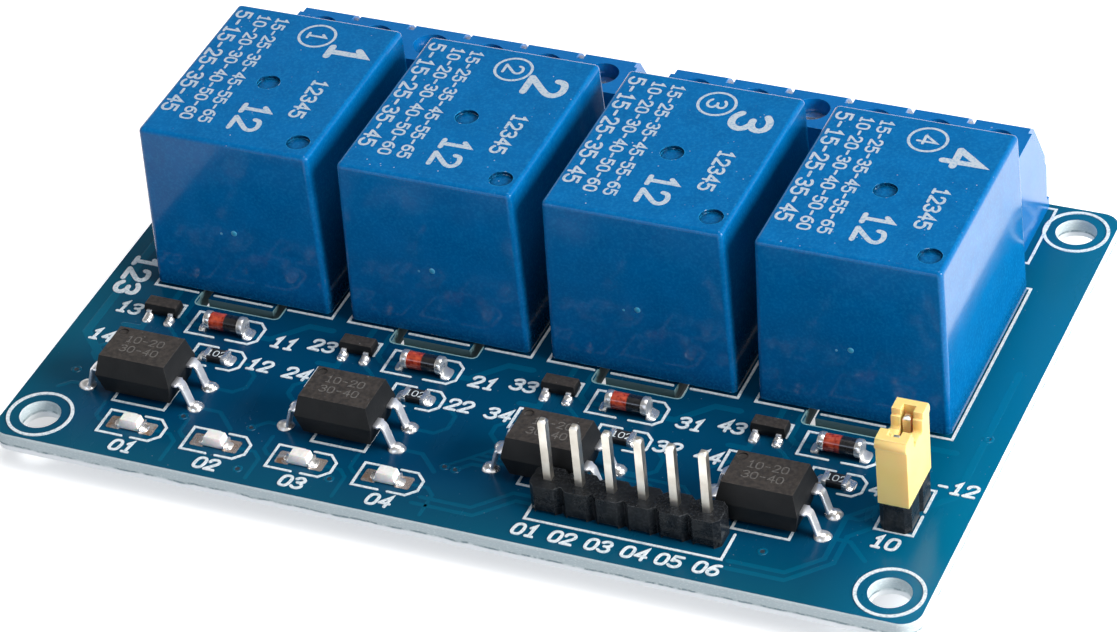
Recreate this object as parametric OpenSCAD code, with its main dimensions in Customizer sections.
// Four channel relay module board.
// The origin is the centre of the four mounting holes on the underside of the board:
// +X runs along the board, +Y from the header edge to the screw terminals, +Z up.

/* [Board] */
// Length of the circuit board
board_l = 76; // [75:0.5:80]
// Width of the circuit board
board_w = 51; // [50.5:0.5:54]
// Thickness of the circuit board
board_t = 1.6; // [1:0.1:2.4]
// Corner radius of the circuit board
board_r = 1.6; // [0.5:0.1:2.5]
// Distance from a mounting hole's centre to the board edges
hole_inset = 3.0; // [2.6:0.1:3.2]
// Diameter of the mounting holes
hole_d = 3.3; // [3:0.1:3.6]
// Width of the milled isolation slots
slot_w = 0.85; // [0.7:0.05:1.3]
// Distance between the legs of a U-shaped isolation slot, centre to centre
slot_span = 6.6; // [6:0.1:7]
// Length of the through pins below the board
tail_l = 1.9; // [1.5:0.1:2.6]

/* [Relays] */
// Distance between neighbouring relays, centre to centre
relay_pitch = 17.27; // [16.6:0.01:17.6]
// Length of a relay case at its foot
relay_l = 19.0; // [18.9:0.1:19.6]
// Width of a relay case at its foot
relay_w = 15.5; // [15.4:0.1:16]
// Height of a relay above the board
relay_h = 15.27; // [15:0.01:16.4]
// Wall of a relay case
relay_wall = 0.9; // [0.8:0.05:1]
// Draft of a relay case, per side, from foot to top
relay_draft = 0.34; // [0.2:0.02:0.4]
// Edge radius of a relay case
relay_edge_r = 0.45; // [0.3:0.05:0.6]
// Height of the feet that hold a relay off the board
relay_standoff = 0.3; // [0.2:0.05:0.4]
// Diameter of the round dimples in a relay's top
dimple_d = 1.9; // [1.4:0.1:2.2]
// Gap between the relays and the screw terminals
relay_gap = 3.0; // [2:0.1:3.2]

/* [Relay mechanism] */
// Diameter of the coil winding
coil_d = 10.4; // [9.4:0.1:10.6]
// Diameter of the iron core
core_d = 4.0; // [3.4:0.1:4.2]
// Thickness of the yoke
yoke_t = 1.1; // [0.9:0.05:1.2]
// Thickness of the armature
armature_t = 1.0; // [0.8:0.05:1.1]
// Air gap between the pole face and the resting armature
pole_gap = 0.6; // [0.58:0.01:0.75]
// Thickness of the contact tabs
tab_t = 0.45; // [0.35:0.05:0.5]

/* [Screw terminals] */
// Pole pitch of the screw terminals
pole_pitch = 5.08; // [5:0.02:5.1]
// Depth of a terminal block
term_d = 7.95; // [7.9:0.05:8.3]
// Height of a terminal block
term_h = 9.95; // [9.8:0.05:11]
// Height of the upright part of the wire side
term_back_h = 5.0; // [4.8:0.1:5.5]
// Depth of the flat top of a terminal block
term_top_d = 4.95; // [4.8:0.05:5.2]
// Space between the two groups of terminal blocks
term_group_gap = 2.9; // [2.6:0.1:3.8]
// Distance from a block's wire side to the edge of the board
term_edge_gap = 0.3; // [0:0.05:0.6]
// Diameter of a clamp screw's head
screw_head_d = 2.7; // [2.6:0.1:3]
// Thread diameter of a clamp screw
screw_d = 2.2; // [2:0.1:2.3]
// Height that a wire cage opens to
wire_gap = 2.3; // [1.8:0.1:2.4]
// Width of a wire entry
entry_w = 3.5; // [3:0.1:3.7]
// Distance from a block's relay side to the middle of its screws
screw_inset = 2.4; // [2.3:0.05:2.6]

/* [Pin headers] */
// Pitch of the header pins
pin_pitch = 2.54; // [2.5:0.01:2.6]
// Side of a square header pin
pin_side = 0.64; // [0.5:0.02:0.66]
// Height of a header's plastic
header_h = 2.54; // [2.2:0.02:2.8]
// Height of the pin tips above the board
pin_top = 8.2; // [7.9:0.1:8.6]
// Distance from the signal pins to the front edge of the board
header_edge = 4.95; // [4.4:0.05:5]
// Position of the first signal pin along the board, from the centre
header_x = 7.6; // [6.4:0.1:8]
// Position of the supply header along the board, from the centre
jumper_x = 33.15; // [33:0.05:33.6]
// Height of the jumper cap
cap_h = 6.15; // [5.9:0.05:6.6]
// Width of the jumper cap
cap_w = 2.44; // [2.3:0.02:2.5]
// Distance from the relays' front to the middle of the supply header
jumper_setback = 8.9; // [8:0.1:10]

/* [Small parts] */
// Length of an optocoupler body, from lead row to lead row
opto_l = 6.5; // [6.2:0.1:6.6]
// Width of an optocoupler body
opto_w = 4.6; // [4.4:0.1:4.8]
// Height of an optocoupler above the board
opto_h = 3.95; // [3.4:0.05:4.2]
// Span of an optocoupler over the toes of its leads
opto_span = 9.8; // [9.6:0.1:10.2]
// Length of a transistor body
transistor_l = 2.9; // [2.8:0.05:3]
// Length of a glass diode
diode_l = 3.5; // [3.3:0.05:3.7]
// Diameter of a glass diode's end caps
diode_d = 1.5; // [1.3:0.05:1.6]
// Length of a chip resistor or chip LED
chip_l = 2.0; // [1.8:0.05:2.2]
// Width of a chip resistor or chip LED
chip_w = 1.25; // [1.1:0.05:1.4]
// Pitch of the indicator LEDs
led_pitch = 7.3; // [6.6:0.1:7.4]
// Distance from the first LED to the end of the board
led_inset = 10.65; // [10:0.05:11]
// Distance from the LEDs to the front edge of the board
led_edge = 3.85; // [3.4:0.05:4.2]

/* [Hidden] */

eps = 0.01;
$fn = 48;

relay_count = 4;
block_count = 4;
poles = 3;
signal_pins = 6;
supply_pins = 2;
led_count = 4;

// Running and seating clearances
seat = 0.05;
slide_fit = 0.1;

// Board levels and hole places
top = board_t;
tail_z = -tail_l;
hole_x = board_l / 2 - hole_inset;
hole_y = board_w / 2 - hole_inset;

// Relay places, counted from 0
function relay_x(i) = (i - (relay_count - 1) / 2) * relay_pitch;
term_back_y = board_w / 2 - term_edge_gap;
term_front_y = term_back_y - term_d;
relay_y = term_front_y - relay_gap - relay_l / 2;
relay_front_y = relay_y - relay_l / 2;

// Pin layout of a relay, from its centre
common_pin_inset = 2.5;
coil_pin_step = 2.0;
contact_pin_inset = 2.3;
side_pin_inset = 1.75;
common_pin_y = common_pin_inset - relay_l / 2;
coil_pin_y = common_pin_y + coil_pin_step;
contact_pin_y = relay_l / 2 - contact_pin_inset;
side_pin_x = relay_w / 2 - side_pin_inset;
relay_pin_w = 1.0;
relay_pin_t = 0.6;
coil_pin_side = 0.6;
relay_hole_d = 1.4;
coil_hole_d = 1.1;

// Isolation slot, its front bar ahead of the relay and its legs on both sides of the common pin
slot_clear = 1.1;
slot_reach = 2.6;
slot_bar_y = relay_front_y - slot_clear;
slot_leg_end_y = relay_y + common_pin_y + slot_reach;

// Levels inside a relay, above the board's top face
base_t = 1.2;
flange_t = 0.8;
pole_t = 0.5;
blade_t = 0.2;
rivet_t = 0.25;
rivet_d = 2.0;
fixed_rivet_d = 1.8;
contact_air = 0.02;
roof_air = 0.2;
moving_rivet_reach = 0.35;
open_rivet_h = 0.4;
base_z = top + relay_standoff;
yoke_z = base_z + base_t;
flange_z = yoke_z + yoke_t;
winding_z = flange_z + flange_t;
roof_z = top + relay_h - relay_wall;
closed_tab_z = roof_z - roof_air - tab_t;
closed_rivet_z = closed_tab_z - rivet_t;
moving_top_z = closed_rivet_z - contact_air;
blade_z = moving_top_z - rivet_t - blade_t;
armature_z = blade_z - armature_t;
pivot_z = armature_z - seat;
moving_bottom_z = blade_z - moving_rivet_reach;
pole_z = armature_z - pole_gap;
winding_top_z = pole_z - pole_t - flange_t;
contact_travel = 0.8;
open_rivet_z = moving_bottom_z - contact_travel;
open_tab_z = open_rivet_z - open_rivet_h - tab_t;
flange_rim = 0.4;
tube_wall = 0.8;
flange_d = coil_d + 2 * flange_rim;
tube_d = core_d + 2 * seat + 2 * tube_wall;
base_l = relay_l - 2 * (relay_wall + slide_fit);
base_w = relay_w - 2 * (relay_wall + seat);

// Yoke, coil and armature, from the relay's centre
yoke_y = common_pin_y - yoke_t / 2;
yoke_w = 10;
yoke_leg_w = 8;
yoke_foot_rim = 0.6;
yoke_air = 0.85;
coil_y = yoke_y + yoke_t + yoke_air + flange_d / 2;
shoe_rim = 1.1;
shoe_d = core_d + 2 * shoe_rim;
blade_air = 0.2;
blade_w = 4.4;
blade_drop = 2.6;
armature_w = 9.2;
armature_overhang = 1.1;
armature_end_y = coil_y + shoe_d / 2 + armature_overhang;
blade_end_y = contact_pin_y + rivet_d / 2;
stud_x = 1.2;
stud_h = 0.2;
tab_w = 2.0;
tab_reach = 1.0;
bobbin_lug = 0.55;
bobbin_lip = 0.9;

// Screw terminals, counted from 0; poles run along the whole board
block_l = poles * pole_pitch;
function block_x(i) = (i < 2 ? -1 : 1) * term_group_gap / 2 + (i - 2) * block_l;
function pole_x(p) = block_x(floor(p / poles)) + (p % poles + 0.5) * pole_pitch;
screw_y = term_front_y + screw_inset;
well_d = screw_head_d + 2 * slide_fit;
neck_d = screw_d + 2 * slide_fit;
cage_wall = 0.4;
cage_margin = 1.2;
cage_w = pole_pitch - cage_margin;
cage_d = 2.8;
cage_floor_t = 0.45;
cage_top_t = 0.8;
cage_floor_lift = 0.6;
cage_floor_z = top + cage_floor_lift;
bar_t = 0.6;
bar_w = cage_w - 2 * cage_wall - 2 * slide_fit;
bar_z = cage_floor_z + cage_floor_t + wire_gap;
cage_top_z = bar_z + bar_t + seat;
closed_gap = 0.2;
cage_lift = wire_gap - closed_gap;
pocket_w = cage_w + 2 * slide_fit;
pocket_top_z = cage_top_z + cage_top_t + cage_lift + slide_fit;
shoulder_t = 0.6;
head_z = pocket_top_z + shoulder_t + seat;
head_t = 1.2;
drive_w = 0.55;
drive_depth = 0.6;
strip_t = 0.5;
strip_y = screw_y - cage_d / 2 - slide_fit - strip_t;
foot_t = 0.4;
foot_z = top + seat;
term_pin_w = 1.0;
term_pin_t = 0.8;
term_pin_shift = 0.3;
term_pin_y = screw_y + term_pin_shift;
term_hole_d = 1.4;
entry_lift = 0.95;
entry_room = 1.1;
entry_z = top + entry_lift;
entry_h = wire_gap + entry_room;
groove_w = 0.6;
groove_depth = 0.55;
rib_w = 1.2;
rib_t = 0.4;
rib_inset = 1.5;
rib_y = term_front_y + rib_inset;

// Pin headers
header_hole_d = 1.02;
header_y = header_edge - board_w / 2;
header_w = 2.5;
header_chamfer = 0.45;
header_tail = -1.4;
pin_tip = 0.25;
jumper_y = relay_front_y - jumper_setback;
pocket_air = 0.03;
contact_t = 0.25;
contact_lift = 0.4;
grip_air = 0.1;
contact_w = pin_side + 2 * (grip_air + contact_t);
cap_margin = 1.21;
cap_end_wall = 0.45;
cap_l = pin_pitch + 2 * cap_margin;
cap_pocket_w = contact_w + 2 * pocket_air;
cap_pocket_l = cap_l - 2 * cap_end_wall;
cap_z = top + header_h;
ear_d = 1.1;
ear_bulge = 0.22;
ear_l = 1.3;
notch_l = 1.9;
notch_depth = 1.35;
notch_relief_d = 0.5;
window_air = 0.16;
window_end = 0.3;

// Small parts, in rows between the signal header and the relays; dx is from a relay's centre
opto_dx = -2.4;
opto_gap = 0.15;
opto_y = header_y + header_w / 2 + opto_gap + opto_w / 2;
opto_lift = 0.4;
opto_mid_z = top + opto_lift + (opto_h - opto_lift) / 2;
opto_draft = 0.42;
lead_pitch = 2.54;
lead_t = 0.28;
lead_w = 0.85;
lead_shoulder_w = 1.15;
lead_shoulder_l = 0.5;
toe_l = 0.95;
mark_inset = 1.0;
mark_d = 0.8;
mark_depth = 0.12;
row_space = relay_front_y - opto_y - opto_w / 2 - chip_w - diode_d;
resistor_share = 0.25;
diode_share = 0.455;
transistor_dx = -5.5;
transistor_step = 0.7;
transistor_w = 1.3;
transistor_h = 1.1;
transistor_lift = 0.1;
transistor_lead_t = 0.15;
transistor_lead_w = 0.42;
transistor_span = 2.4;
transistor_pitch = 1.9;
diode_dx = 0.45;
diode_y = relay_front_y - diode_share * row_space - diode_d / 2;
transistor_y = diode_y + transistor_step;
diode_cap_l = 0.55;
diode_lift = 0.05;
resistor_dx = [-5.4, 1.25];
resistor_y = opto_y + opto_w / 2 + resistor_share * row_space + chip_w / 2;
resistor_t = 0.55;
chip_end_l = 0.38;
chip_end_t = 0.04;
led_x = led_inset - board_l / 2;
led_y = led_edge - board_w / 2;
led_base_t = 0.35;
led_lens_t = 0.55;
led_lens_air = 0.02;
led_end_l = 0.16;
led_draft = 0.1;
solder_h = 1.0;
solder_d = 2.2;
solder_neck = 0.25;

// A rectangle with round corners, centred
module round_rect(l, w, r) {
    square([l - 2 * r, w], center = true);
    square([l, w - 2 * r], center = true);
    for (sx = [-1, 1], sy = [-1, 1]) {
        translate([sx * (l / 2 - r), sy * (w / 2 - r)]) circle(r);
    }
}

// A box centred in X and Y that stands on z
module post(l, w, z, h) {
    translate([-l / 2, -w / 2, z]) cube([l, w, h]);
}

// A box whose top is smaller than its foot by inset on every side
module drafted(l, w, h, inset) {
    scale_to = [(l - 2 * inset) / l, (w - 2 * inset) / w];
    linear_extrude(h, scale = scale_to, slices = 1, $fn = 0) square([l, w], center = true);
}

// Puts a copy at each relay
module at_relays() {
    for (i = [0 : relay_count - 1]) translate([relay_x(i), relay_y, 0]) children();
}

// Puts a copy at the two pins that flank a relay's middle at the given distance
module at_side_pins(y) {
    for (s = [-1, 1]) translate([s * side_pin_x, y, 0]) children();
}

module at_poles() {
    for (p = [0 : block_count * poles - 1]) translate([pole_x(p), 0, 0]) children();
}

module at_signal_pins() {
    for (i = [0 : signal_pins - 1]) translate([header_x + i * pin_pitch, header_y, 0]) children();
}

module at_supply_pins() {
    for (i = [0 : supply_pins - 1]) {
        translate([jumper_x, jumper_y + (i - (supply_pins - 1) / 2) * pin_pitch, 0]) children();
    }
}

module at_leds() {
    for (i = [0 : led_count - 1]) translate([led_x + i * led_pitch, led_y, 0]) children();
}

module at_optos() {
    for (i = [0 : relay_count - 1]) translate([relay_x(i) + opto_dx, opto_y, 0]) children();
}

module at_resistors() {
    for (i = [0 : relay_count - 1], dx = resistor_dx) {
        translate([relay_x(i) + dx, resistor_y, 0]) children();
    }
}

// Circuit board

module drill(d) {
    translate([0, 0, -eps]) cylinder(d = d, h = board_t + 2 * eps);
}

// U-shaped slot with round ends and round outer corners
module isolation_slot() {
    leg_l = slot_leg_end_y - slot_bar_y;
    translate([0, slot_bar_y, -eps]) linear_extrude(board_t + 2 * eps) {
        square([slot_span, slot_w], center = true);
        for (s = [-1, 1]) translate([s * slot_span / 2, 0]) {
            circle(d = slot_w);
            translate([-slot_w / 2, 0]) square([slot_w, leg_l]);
            translate([0, leg_l]) circle(d = slot_w);
        }
    }
}

module circuit_board() {
    color([0.0, 0.24, 0.42]) difference() {
        linear_extrude(board_t) round_rect(board_l, board_w, board_r);
        for (sx = [-1, 1], sy = [-1, 1]) translate([sx * hole_x, sy * hole_y, 0]) drill(hole_d);
        for (i = [0 : relay_count - 1]) translate([relay_x(i), 0, 0]) isolation_slot();
        at_relays() {
            translate([0, common_pin_y, 0]) drill(relay_hole_d);
            at_side_pins(coil_pin_y) drill(coil_hole_d);
            at_side_pins(contact_pin_y) drill(relay_hole_d);
        }
        at_poles() translate([0, term_pin_y, 0]) drill(term_hole_d);
        at_signal_pins() drill(header_hole_d);
        at_supply_pins() drill(header_hole_d);
    }
}

// Relays

// Smooth block with draft: level corners at the foot, round corners at the top
module case_block(l, w, z0, z1, draft, r) {
    hull() {
        for (sx = [-1, 1], sy = [-1, 1]) {
            translate([sx * (l / 2 - r), sy * (w / 2 - r), z0]) cylinder(r = r, h = eps, $fn = 24);
            translate([sx * (l / 2 - draft - r), sy * (w / 2 - draft - r), z1 - r]) {
                sphere(r, $fn = 24);
            }
        }
    }
}

// Hollow of the case: a drafted box, open at the foot
module case_hollow() {
    translate([0, 0, base_z - eps]) {
        drafted(relay_l - 2 * relay_wall, relay_w - 2 * relay_wall, roof_z - base_z + eps, relay_draft);
    }
}

module relay_case(i) {
    dimple_depth = 0.3;
    foot = 1.4;
    color([0.05, 0.40, 0.68]) translate([relay_x(i), relay_y, 0]) {
        difference() {
            rotate([0, 0, 90]) case_block(relay_l, relay_w, base_z, top + relay_h, relay_draft, relay_edge_r);
            rotate([0, 0, 90]) case_hollow();
            translate([0, -0.5, top + relay_h - dimple_depth]) cylinder(d = dimple_d, h = 1);
            translate([relay_w / 2 - 1.9, 2.2 - relay_l / 2, top + relay_h - dimple_depth]) {
                cylinder(d = dimple_d, h = 1);
            }
        }
        for (sx = [-1, 1], sy = [-1, 1]) {
            x = sx * (relay_w / 2 - relay_edge_r) - (sx > 0 ? relay_wall - relay_edge_r : 0);
            y = sy * (relay_l / 2 - foot);
            translate([x, y - foot / 2, top]) {
                cube([relay_wall - relay_edge_r, foot, relay_standoff + eps]);
            }
        }
    }
}

// Opening for a relay pin through a plate
module pin_slot(w, t, z, h) {
    post(w + 2 * slide_fit, t + 2 * slide_fit, z - eps, h + 2 * eps);
}

module relay_base() {
    difference() {
        post(base_w, base_l, base_z, base_t);
        translate([0, common_pin_y, 0]) pin_slot(relay_pin_w, relay_pin_t, base_z, base_t);
        at_side_pins(coil_pin_y) pin_slot(coil_pin_side, coil_pin_side, base_z, base_t);
        at_side_pins(contact_pin_y) pin_slot(tab_t, relay_pin_w, base_z, base_t);
    }
}

module relay_bases() {
    color([0.10, 0.10, 0.11]) at_relays() relay_base();
}

// Bobbin: a tube between a round upper flange and a lower flange that holds the coil pins
module relay_bobbin() {
    lug = side_pin_x + bobbin_lug;
    lip_y = coil_pin_y - bobbin_lip;
    difference() {
        union() {
            translate([0, coil_y, flange_z]) cylinder(d = tube_d, h = winding_top_z + flange_t - flange_z);
            translate([0, coil_y, winding_top_z]) cylinder(d = flange_d, h = flange_t);
            translate([-lug, lip_y, flange_z]) cube([2 * lug, coil_y + coil_d / 2 - lip_y, flange_t]);
        }
        translate([0, coil_y, flange_z - eps]) {
            cylinder(d = core_d + 2 * seat, h = pole_z - flange_z + 2 * eps);
        }
        at_side_pins(coil_pin_y) pin_slot(coil_pin_side, coil_pin_side, flange_z, flange_t);
    }
}

module relay_bobbins() {
    color([0.93, 0.92, 0.88]) at_relays() relay_bobbin();
}

module relay_windings() {
    color([0.72, 0.36, 0.16]) at_relays() translate([0, coil_y, winding_z]) {
        difference() {
            cylinder(d = coil_d, h = winding_top_z - winding_z);
            translate([0, 0, -eps]) cylinder(d = tube_d + 2 * seat, h = winding_top_z - winding_z + 2 * eps);
        }
    }
}

module relay_cores() {
    color([0.62, 0.63, 0.65]) at_relays() {
        translate([0, coil_y, yoke_z]) cylinder(d = core_d, h = pole_z - yoke_z);
        translate([0, coil_y, pole_z - pole_t]) cylinder(d = shoe_d, h = pole_t);
    }
}

// Yoke: an L of iron under and beside the coil, with the common pin at its foot
module relay_yoke() {
    foot_l = coil_y + core_d / 2 + yoke_foot_rim - yoke_y;
    difference() {
        union() {
            translate([-yoke_leg_w / 2, yoke_y, yoke_z]) cube([yoke_leg_w, foot_l, yoke_t]);
            translate([-yoke_w / 2, yoke_y, yoke_z]) cube([yoke_w, yoke_t, pivot_z - yoke_z]);
            translate([0, common_pin_y, 0]) post(relay_pin_w, relay_pin_t, tail_z, yoke_z - tail_z + eps);
        }
        translate([0, coil_y, yoke_z - eps]) cylinder(d = core_d + 2 * seat, h = yoke_t + 2 * eps);
    }
}

module relay_yokes() {
    color([0.70, 0.71, 0.72]) at_relays() relay_yoke();
}

// Contact tab: a pin, an upright and an arm that carries a fixed contact over the relay's middle
module contact_tab(side, arm_z, rivet_z) {
    translate([side * side_pin_x, contact_pin_y, 0]) {
        post(tab_t, relay_pin_w, tail_z, base_z + base_t - tail_z);
        post(tab_t, tab_w, base_z + base_t, arm_z + tab_t - base_z - base_t);
    }
    arm_l = side_pin_x + tab_t / 2 + tab_reach;
    arm_x = side > 0 ? -tab_reach : -side_pin_x - tab_t / 2;
    translate([arm_x, contact_pin_y - tab_w / 2, arm_z]) cube([arm_l, tab_w, tab_t]);
    translate([0, contact_pin_y, min(arm_z + tab_t, rivet_z)]) {
        cylinder(d = fixed_rivet_d, h = abs(rivet_z - (rivet_z > arm_z ? arm_z + tab_t : arm_z)));
    }
}

module relay_contact_tabs() {
    color([0.80, 0.62, 0.38]) at_relays() {
        contact_tab(1, open_tab_z, open_rivet_z);
        contact_tab(-1, closed_tab_z, closed_rivet_z);
    }
}

module relay_coil_pins() {
    color([0.80, 0.80, 0.80]) at_relays() at_side_pins(coil_pin_y) {
        post(coil_pin_side, coil_pin_side, tail_z, winding_z + 0.6 - tail_z);
    }
}

// Armature: an iron plate with the contact blade on its top and the moving contact at its end
module relay_armature(i) {
    blade_y = yoke_y - blade_air - blade_t;
    color([0.75, 0.70, 0.60]) translate([relay_x(i), relay_y, 0]) {
        translate([-armature_w / 2, yoke_y, armature_z]) {
            cube([armature_w, armature_end_y - yoke_y, armature_t]);
        }
        translate([-blade_w / 2, blade_y, blade_z]) cube([blade_w, blade_end_y - blade_y, blade_t]);
        translate([-blade_w / 2, blade_y, blade_z - blade_drop]) cube([blade_w, blade_t, blade_drop + eps]);
        translate([0, contact_pin_y, moving_bottom_z]) {
            cylinder(d = rivet_d, h = moving_top_z - moving_bottom_z);
        }
        for (s = [-1, 1]) translate([s * stud_x, coil_y + stud_x, blade_z]) {
            cylinder(d = stud_x, h = blade_t + stud_h);
        }
    }
}

// Screw terminals

// Side profile of a block: upright relay side, flat top, sloping and then upright wire side
module block_profile() {
    bevel = 0.35;
    polygon([
        [term_front_y, top],
        [term_back_y, top],
        [term_back_y, top + term_back_h],
        [term_front_y + term_top_d + bevel, top + term_h - 1.5 * bevel],
        [term_front_y + term_top_d - bevel, top + term_h],
        [term_front_y, top + term_h]
    ]);
}

// What a groove between two poles takes off the slope and the wire side
module groove_profile() {
    difference() {
        translate([term_front_y + term_top_d - 1.0, top + 1]) square([term_d, term_h]);
        translate([-groove_depth, -groove_depth]) block_profile();
    }
}

// Wire entry: an upright slot with a round head and a funnel at its mouth
module wire_entry() {
    funnel = 0.35;
    mouth_l = term_back_y - screw_y;
    module outline(grow) {
        r = entry_w / 2 + grow;
        translate([-r, -grow]) square([2 * r, entry_h - entry_w / 2 + grow]);
        translate([0, entry_h - entry_w / 2]) circle(r);
    }
    translate([0, screw_y, entry_z]) rotate([90, 0, 180]) {
        linear_extrude(mouth_l + 1) outline(0);
        translate([0, 0, mouth_l - funnel]) linear_extrude(1) outline(funnel);
    }
}

module terminal_block(i) {
    color([0.02, 0.42, 0.78]) translate([block_x(i), 0, 0]) difference() {
        union() {
            rotate([90, 0, 90]) linear_extrude(block_l) block_profile();
            if (i % 2 == 1) translate([-rib_t, rib_y, top]) cube([rib_t + eps, rib_w, term_h - 1.5]);
        }
        if (i % 2 == 0) translate([block_l - rib_t - slide_fit, rib_y - slide_fit, top - eps]) {
            cube([rib_t + slide_fit + eps, rib_w + 2 * slide_fit, term_h - 1.5 + slide_fit]);
        }
        for (g = [0 : poles]) translate([g * pole_pitch - groove_w / 2, 0, 0]) {
            rotate([90, 0, 90]) linear_extrude(groove_w) groove_profile();
        }
        for (p = [0 : poles - 1]) translate([(p + 0.5) * pole_pitch, 0, 0]) {
            translate([0, screw_y, head_z - seat]) cylinder(d = well_d, h = term_h);
            translate([0, screw_y, pocket_top_z - eps]) cylinder(d = neck_d, h = shoulder_t + seat);
            translate([-pocket_w / 2, screw_y - cage_d / 2 - slide_fit, top - eps]) {
                cube([pocket_w, cage_d + 2 * slide_fit, pocket_top_z - top + eps]);
            }
            translate([-bar_w / 2 - slide_fit, strip_y - slide_fit, top - eps]) {
                cube([bar_w + 2 * slide_fit, strip_t + cage_d, cage_top_z - top + slide_fit]);
            }
            wire_entry();
        }
    }
}

// Rising cage: a folded box, open along the wire, with a threaded top plate
module wire_cage(p) {
    fold_r = 0.3;
    h = cage_top_z + cage_top_t - cage_floor_z;
    inner_h = cage_top_z - cage_floor_z - cage_floor_t;
    color([0.78, 0.78, 0.76]) translate([pole_x(p), screw_y, 0]) difference() {
        translate([0, cage_d / 2, cage_floor_z + h / 2]) rotate([90, 0, 0]) {
            linear_extrude(cage_d) round_rect(cage_w, h, fold_r);
        }
        post(cage_w - 2 * cage_wall, cage_d + 2 * eps, cage_floor_z + cage_floor_t, inner_h);
        translate([0, 0, cage_top_z - eps]) cylinder(d = screw_d + 2 * seat, h = cage_top_t + 2 * eps);
    }
}

// Clamp screw: a slotted pan head over a plain shank
module clamp_screw(p) {
    rim = 0.25;
    color([0.80, 0.80, 0.78]) translate([pole_x(p), screw_y, 0]) difference() {
        union() {
            translate([0, 0, head_z]) cylinder(d = screw_head_d, h = head_t - rim);
            translate([0, 0, head_z + head_t - rim]) {
                cylinder(d1 = screw_head_d, d2 = screw_head_d - 2 * rim, h = rim);
            }
            translate([0, 0, cage_top_z]) cylinder(d = screw_d, h = head_z - cage_top_z + eps);
        }
        post(screw_head_d + 1, drive_w, head_z + head_t - drive_depth, drive_depth + eps);
    }
}

// Fixed contact: a bar inside the cage, an upright strip behind it and a cranked pin under it
module terminal_contact() {
    bar_l = screw_y + cage_d / 2 - slide_fit - strip_y;
    foot_l = term_pin_y + term_pin_t / 2 - strip_y;
    translate([-bar_w / 2, strip_y, bar_z]) cube([bar_w, bar_l, bar_t]);
    translate([-bar_w / 2, strip_y, foot_z]) cube([bar_w, strip_t, bar_z + bar_t - foot_z]);
    translate([-bar_w / 2, strip_y, foot_z]) cube([bar_w, foot_l, foot_t]);
    translate([0, term_pin_y, 0]) post(term_pin_w, term_pin_t, tail_z, foot_z + eps - tail_z);
}

module terminal_contacts() {
    color([0.82, 0.80, 0.74]) at_poles() terminal_contact();
}

// Pin headers

// One position of a header housing, with bevelled upright edges and a raised middle
module header_cell() {
    c = header_chamfer;
    a = pin_pitch / 2;
    b = header_w / 2;
    relief = 0.25;
    difference() {
        translate([0, 0, top]) linear_extrude(header_h) {
            polygon([
                [-a, c - b], [c - a, -b], [a - c, -b], [a, c - b],
                [a, b - c], [a - c, b], [c - a, b], [-a, b - c]
            ]);
        }
        post(pin_side, pin_side, top - eps, header_h + 2 * eps);
        post(pin_pitch - 1.0, header_w + 1, top - eps, relief);
    }
}

module signal_header_housing() {
    color([0.07, 0.07, 0.08]) at_signal_pins() header_cell();
}

module supply_header_housing() {
    color([0.07, 0.07, 0.08]) at_supply_pins() rotate([0, 0, 90]) header_cell();
}

// Square pin with a taper at both ends
module header_pin() {
    taper = 0.6;
    post(pin_side, pin_side, header_tail + pin_tip, top + pin_top - header_tail - 2 * pin_tip);
    translate([0, 0, top + pin_top - pin_tip]) {
        linear_extrude(pin_tip, scale = taper) square(pin_side, center = true);
    }
    translate([0, 0, header_tail + pin_tip]) mirror([0, 0, 1]) {
        linear_extrude(pin_tip, scale = taper) square(pin_side, center = true);
    }
}

module header_pins() {
    color([0.85, 0.82, 0.76]) {
        at_signal_pins() header_pin();
        at_supply_pins() header_pin();
    }
}

// Jumper cap: a moulded sleeve round both pins, open at the top, with a grip ear at each end
// and a saddle between the ears that leaves the contact in view
module jumper_cap() {
    shoulder_h = cap_h - 2 * ear_d;
    window_w = pin_side + 2 * window_air;
    color([0.93, 0.78, 0.40]) translate([jumper_x, jumper_y, 0]) difference() {
        union() {
            post(cap_w, cap_l, cap_z, cap_h - ear_d / 2);
            for (s = [-1, 1]) {
                ear_y = s * (cap_l / 2 + ear_bulge - ear_d / 2);
                translate([0, ear_y, cap_z + cap_h - ear_d / 2]) rotate([0, 90, 0]) {
                    cylinder(d = ear_d, h = cap_w, center = true);
                }
                translate([0, s * (cap_l / 2 - ear_l / 2), cap_z + cap_h - ear_d]) {
                    post(cap_w, ear_l, 0, ear_d);
                }
            }
        }
        post(cap_pocket_w, cap_pocket_l, cap_z - eps, shoulder_h + eps);
        post(window_w, cap_pocket_l - window_end, cap_z, cap_h + eps);
        post(cap_w + 1, notch_l, cap_z + cap_h - notch_depth, notch_depth + eps);
        for (s = [-1, 1]) {
            translate([0, s * (notch_l - notch_relief_d) / 2, cap_z + cap_h - notch_depth]) {
                rotate([0, 90, 0]) cylinder(d = notch_relief_d, h = cap_w + 1, center = true);
            }
        }
    }
}

// Contact in the cap: two spring sides joined by a bridge between the pins
module jumper_contact() {
    side_z = cap_z + contact_lift;
    side_h = cap_h - 2 * ear_d - contact_lift - pocket_air;
    side_l = cap_pocket_l - 2 * pocket_air;
    bridge_l = pin_pitch - pin_side - 0.4;
    color([0.80, 0.66, 0.36]) translate([jumper_x, jumper_y, 0]) {
        for (s = [-1, 1]) {
            translate([s * (contact_w / 2 - contact_t / 2), 0, 0]) post(contact_t, side_l, side_z, side_h);
        }
        post(contact_w, bridge_l, side_z + side_h - contact_t, contact_t);
    }
}

// Small parts

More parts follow.
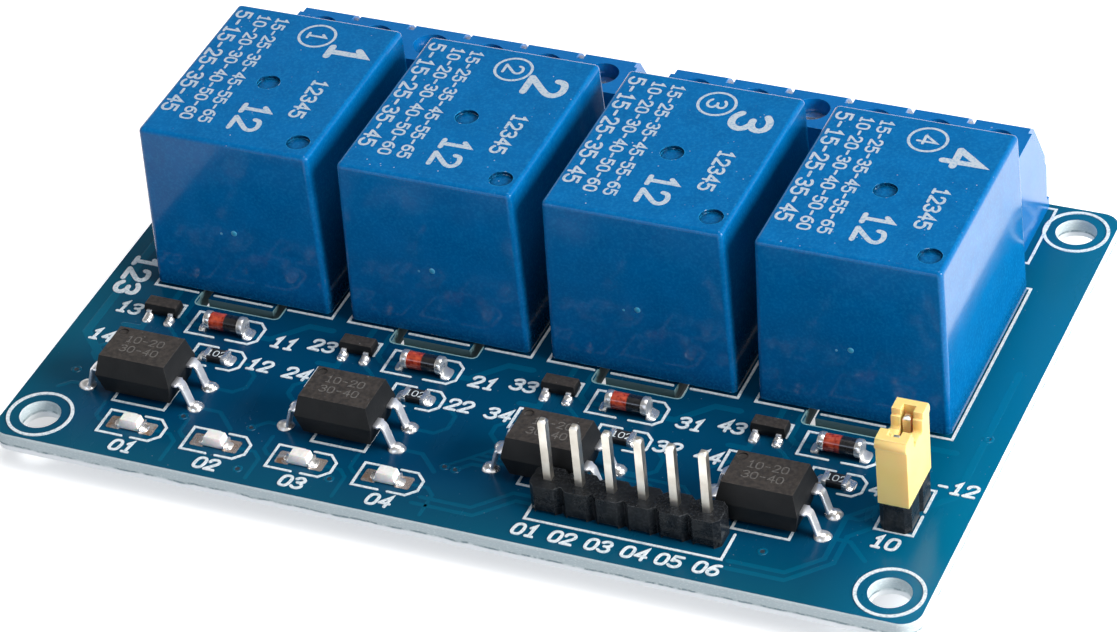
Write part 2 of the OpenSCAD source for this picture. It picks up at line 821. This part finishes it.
// Body that narrows upwards and downwards from its lead plane
module moulded_body(l, w, z0, mid, z1, inset) {
    translate([0, 0, mid]) drafted(l, w, z1 - mid, inset);
    translate([0, 0, mid]) mirror([0, 0, 1]) drafted(l, w, mid - z0, inset);
}

module optocoupler_bodies() {
    color([0.11, 0.10, 0.10]) at_optos() difference() {
        moulded_body(opto_l, opto_w, top + opto_lift, opto_mid_z, top + opto_h, opto_draft);
        translate([mark_inset - opto_l / 2, opto_w / 2 - mark_inset, top + opto_h - mark_depth]) {
            cylinder(d = mark_d, h = 1);
        }
    }
}

// Gull-wing lead: a wide shoulder that narrows into a leg and ends in a flat toe
module gull_lead() {
    x0 = opto_l / 2;
    x1 = x0 + lead_shoulder_l;
    x3 = opto_span / 2;
    x2 = x3 - toe_l;
    z2 = opto_mid_z + lead_t / 2;
    translate([0, lead_w / 2, 0]) rotate([90, 0, 0]) linear_extrude(lead_w) polygon([
        [x0, z2],
        [x1, z2],
        [x1 + lead_t, z2 - lead_t],
        [x2 + lead_t, top + lead_t],
        [x3, top + lead_t],
        [x3, top],
        [x2, top],
        [x1, z2 - lead_t],
        [x0, z2 - lead_t]
    ]);
    translate([x0, -lead_shoulder_w / 2, z2 - lead_t]) cube([lead_shoulder_l, lead_shoulder_w, lead_t]);
}

module optocoupler_leads() {
    color([0.80, 0.80, 0.80]) at_optos() {
        for (s = [0, 180], y = [-1, 1]) {
            rotate([0, 0, s]) translate([0, y * lead_pitch / 2, 0]) gull_lead();
        }
    }
}

module at_transistors() {
    for (i = [0 : relay_count - 1]) {
        translate([relay_x(i) + transistor_dx, transistor_y, 0]) children();
    }
}

module transistor_bodies() {
    color([0.10, 0.10, 0.10]) at_transistors() {
        mid = top + transistor_lift + (transistor_h - transistor_lift) / 2;
        moulded_body(transistor_l, transistor_w, top + transistor_lift, mid, top + transistor_h, 0.1);
    }
}

// Small bent lead that leaves the body towards -Y
module transistor_lead() {
    y0 = transistor_w / 2;
    y1 = transistor_span / 2;
    z1 = top + transistor_lift + (transistor_h - transistor_lift) / 2;
    t = transistor_lead_t;
    w = transistor_lead_w;
    translate([-w / 2, -y0 - t, z1 - t]) cube([w, t, t]);
    translate([-w / 2, -y0 - t - 0.05, top]) cube([w, t, z1 - top]);
    translate([-w / 2, -y1, top]) cube([w, y1 - y0 - 0.05, t]);
}

module transistor_leads() {
    color([0.80, 0.80, 0.80]) at_transistors() {
        for (s = [-1, 1]) translate([s * transistor_pitch / 2, 0, 0]) transistor_lead();
        rotate([0, 0, 180]) transistor_lead();
    }
}

module at_diodes() {
    for (i = [0 : relay_count - 1]) {
        translate([relay_x(i) + diode_dx, diode_y, top + diode_lift + diode_d / 2]) {
            rotate([0, 90, 0]) children();
        }
    }
}

module diode_tubes() {
    color([0.62, 0.18, 0.12]) at_diodes() {
        cylinder(d = diode_d - 0.1, h = diode_l - 2 * diode_cap_l, center = true);
    }
}

module diode_caps() {
    color([0.78, 0.78, 0.77]) at_diodes() {
        for (s = [-1, 1]) translate([0, 0, s * (diode_l - diode_cap_l) / 2]) {
            cylinder(d = diode_d, h = diode_cap_l, center = true);
        }
    }
}

module resistor_bodies() {
    color([0.09, 0.09, 0.10]) at_resistors() {
        post(chip_l - 2 * chip_end_t, chip_w - 2 * chip_end_t, top + chip_end_t, resistor_t - 2 * chip_end_t);
    }
}

// LED: a flat carrier with a moulded lens on it
module led_bodies() {
    lens_l = chip_l - 2 * led_end_l - 2 * led_lens_air;
    color([0.93, 0.94, 0.92]) at_leds() {
        post(chip_l - 2 * chip_end_t, chip_w - 2 * chip_end_t, top + chip_end_t, led_base_t - chip_end_t);
        translate([0, 0, top + led_base_t]) drafted(lens_l, chip_w - 2 * chip_end_t, led_lens_t, led_draft);
    }
}

// Tinned sleeve round the end of a chip: a cap over its end with the chip's section left free
module chip_end(l, h) {
    difference() {
        translate([chip_l / 2 - l, -chip_w / 2, top]) cube([l, chip_w, h]);
        post(chip_l - 2 * chip_end_t, chip_w - 2 * chip_end_t, top + chip_end_t, h - 2 * chip_end_t);
    }
}

module chip_ends() {
    color([0.84, 0.84, 0.83]) {
        at_resistors() for (s = [0, 180]) rotate([0, 0, s]) chip_end(chip_end_l, resistor_t);
        at_leds() for (s = [0, 180]) rotate([0, 0, s]) chip_end(led_end_l, led_base_t + chip_end_t);
    }
}

// Solder cone under the board, open where its pin passes
module solder_joint(w, t) {
    neck = norm([w, t]) + solder_neck;
    difference() {
        translate([0, 0, -solder_h]) cylinder(d1 = neck, d2 = solder_d, h = solder_h);
        post(w, t, -solder_h - eps, solder_h + 2 * eps);
    }
}

module solder_joints() {
    color([0.76, 0.77, 0.78]) {
        at_relays() {
            translate([0, common_pin_y, 0]) solder_joint(relay_pin_w, relay_pin_t);
            at_side_pins(coil_pin_y) solder_joint(coil_pin_side, coil_pin_side);
            at_side_pins(contact_pin_y) solder_joint(tab_t, relay_pin_w);
        }
        at_poles() translate([0, term_pin_y, 0]) solder_joint(term_pin_w, term_pin_t);
        at_signal_pins() solder_joint(pin_side, pin_side);
        at_supply_pins() solder_joint(pin_side, pin_side);
    }
}

circuit_board();
relay_case(0);  // relay_case_1
relay_case(1);  // relay_case_2
relay_case(2);  // relay_case_3
relay_case(3);  // relay_case_4
relay_bases();
relay_bobbins();
relay_windings();
relay_cores();
relay_yokes();
relay_contact_tabs();
relay_coil_pins();
for (i = [0 : relay_count - 1]) {
    relay_armature(i);
}
for (i = [0 : block_count - 1]) {
    terminal_block(i);
}
for (p = [0 : block_count * poles - 1]) {
    wire_cage(p);
    clamp_screw(p);
}
terminal_contacts();
signal_header_housing();
supply_header_housing();
header_pins();
jumper_cap();
jumper_contact();
optocoupler_bodies();
optocoupler_leads();
transistor_bodies();
transistor_leads();
diode_tubes();
diode_caps();
resistor_bodies();
led_bodies();
chip_ends();
solder_joints();
